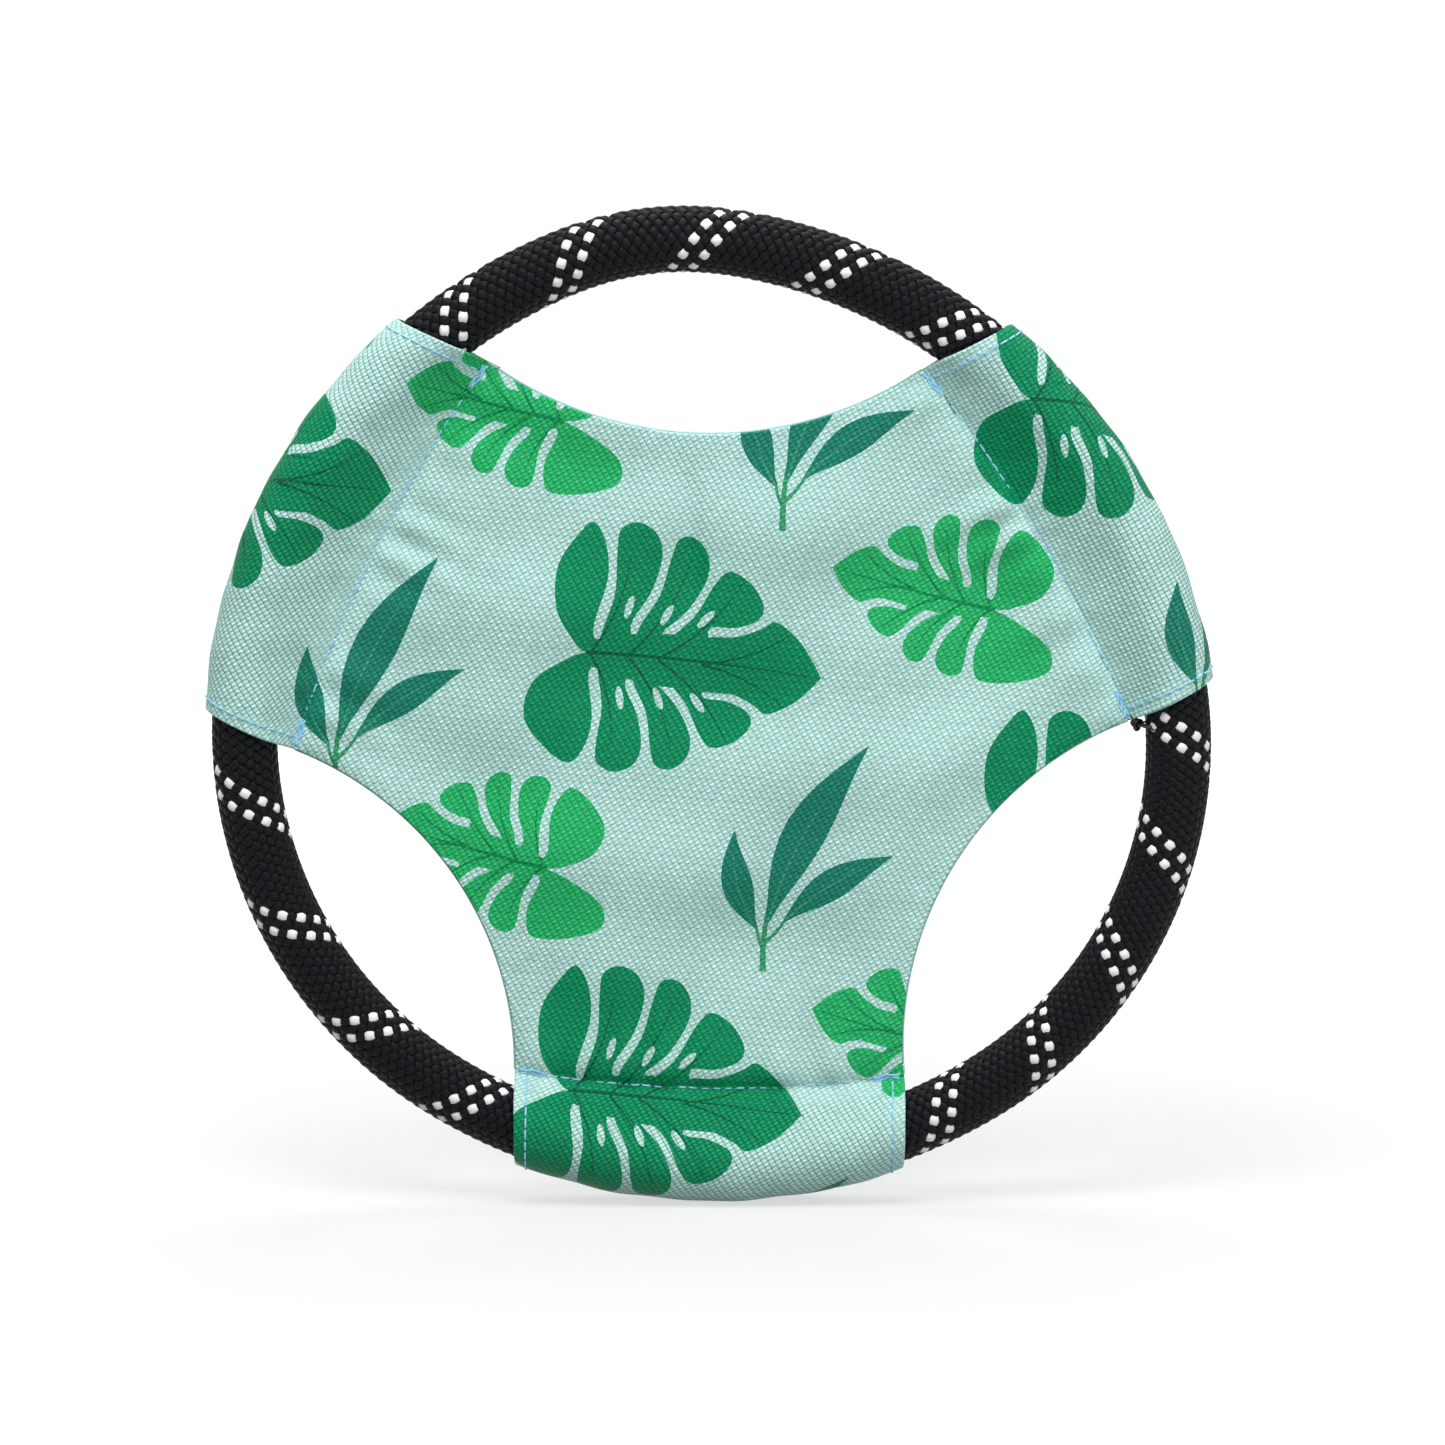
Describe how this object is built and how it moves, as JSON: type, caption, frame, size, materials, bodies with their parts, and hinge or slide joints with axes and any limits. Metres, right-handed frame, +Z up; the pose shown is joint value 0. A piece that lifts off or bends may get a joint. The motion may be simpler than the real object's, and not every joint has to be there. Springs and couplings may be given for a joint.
{
  "type": "flying ring",
  "caption": "Soft flying ring: a hoop of black braided rope with a three-armed panel of leaf-printed cloth sewn across it, open between the arms.",
  "frame": {"origin": "centre of the hoop, in its middle plane", "axes": "+Z up with the ring upright, +Y along the axis it spins about in flight, from the printed front towards the back, +X to the right as seen from the front"},
  "size_m": [0.2219, 0.0184, 0.2201],
  "materials": {
    "rope_black": "braided polyester, black with white tracer yarns",
    "rope_filler": "straight filler yarns",
    "tape": "smooth tape",
    "thread_black": "twisted thread",
    "printed_cloth": "coarse plain weave, pale mint with a green leaf print",
    "thread_blue": "twisted polyester thread, light blue"
  },
  "bodies": {
    "root": {"back_panel": "printed_cloth", "channel_stitching_bottom": "thread_blue", "channel_stitching_left": "thread_blue", "channel_stitching_right": "thread_blue", "corner_tack_bottom_end": "thread_blue", "corner_tack_bottom_start": "thread_blue", "corner_tack_left_end": "thread_blue", "corner_tack_left_start": "thread_blue", "corner_tack_right_end": "thread_blue", "corner_tack_right_start": "thread_blue", "edge_seam_left": "thread_blue", "edge_seam_right": "thread_blue", "edge_seam_top": "thread_blue", "front_panel": "printed_cloth", "hem_stitching_bottom_end": "thread_blue", "hem_stitching_bottom_start": "thread_blue", "hem_stitching_left_end": "thread_blue", "hem_stitching_left_start": "thread_blue", "hem_stitching_right_end": "thread_blue", "hem_stitching_right_start": "thread_blue", "rope_core": "rope_filler", "rope_cover": "rope_black", "rope_join_whipping": "thread_black", "rope_join_wrap": "tape", "rope_tack": "thread_black", "sleeve_bottom": "printed_cloth", "sleeve_left": "printed_cloth", "sleeve_right": "printed_cloth"}
  },
  "joints": []
}
